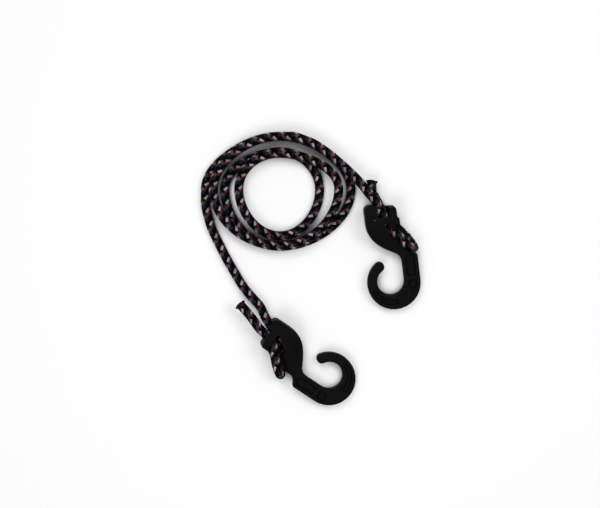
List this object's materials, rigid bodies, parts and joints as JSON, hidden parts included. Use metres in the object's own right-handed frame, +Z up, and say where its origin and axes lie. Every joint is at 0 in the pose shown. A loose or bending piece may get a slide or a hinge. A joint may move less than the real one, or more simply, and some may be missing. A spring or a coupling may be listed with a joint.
{
  "type": "bungee cord",
  "caption": "Elastic bungee cord with a braided cover, laid in loose loops, with a moulded plastic hook threaded on each end for tying down loads.",
  "frame": {"origin": "on the surface the cord lies on, under the middle of the box around the two hooks", "axes": "+Z up from the surface, +Y along the longer side of the hooks' box, from the lower hook towards the loops, +X to the right as seen from above"},
  "size_m": [0.1901, 0.2367, 0.0254],
  "materials": {
    "hook_plastic": "moulded, satin black",
    "braid": "woven black braid with coloured tracer yarns",
    "latex": "bundle of natural latex threads",
    "melted_end": "heat-sealed braid"
  },
  "bodies": {
    "coil": {"coil_sheath": "braid", "coil_core": "latex", "left_leg_sheath": "braid", "left_leg_core": "latex", "right_leg_sheath": "braid", "right_leg_core": "latex"},
    "left_leg_end": {"left_neck_sheath": "braid", "left_neck_core": "latex"},
    "left_hook": {"left_hook": "hook_plastic", "left_threaded_sheath": "braid", "left_threaded_core": "latex", "left_tail_seal": "melted_end"},
    "right_leg_end": {"right_neck_sheath": "braid", "right_neck_core": "latex"},
    "right_hook": {"right_hook": "hook_plastic", "right_threaded_sheath": "braid", "right_threaded_core": "latex", "right_tail_seal": "melted_end"}
  },
  "joints": [
    {"name": "left_stretch", "type": "slide", "parent": "coil", "child": "left_leg_end", "axis": [0.4283, -0.9036, 0], "range_m": [0, 0.09], "stiffness_N_per_m": 1350, "deforming": ["left_leg_sheath", "left_leg_core"]},
    {"name": "left_swing", "type": "hinge", "parent": "left_leg_end", "child": "left_hook", "pos_m": [-0.07081, -0.00225, 0.00851], "axis": [0, 0, 1], "range_deg": [-35, 20], "deforming": ["left_neck_sheath", "left_neck_core"]},
    {"name": "right_stretch", "type": "slide", "parent": "coil", "child": "right_leg_end", "axis": [0.844, -0.5363, 0], "range_m": [0, 0.045], "stiffness_N_per_m": 2700, "deforming": ["right_leg_sheath", "right_leg_core"]},
    {"name": "right_swing", "type": "hinge", "parent": "right_leg_end", "child": "right_hook", "pos_m": [0.0212, 0.09962, 0.01677], "axis": [0, 0, 1], "range_deg": [-15, 25], "deforming": ["right_neck_sheath", "right_neck_core"]}
  ]
}
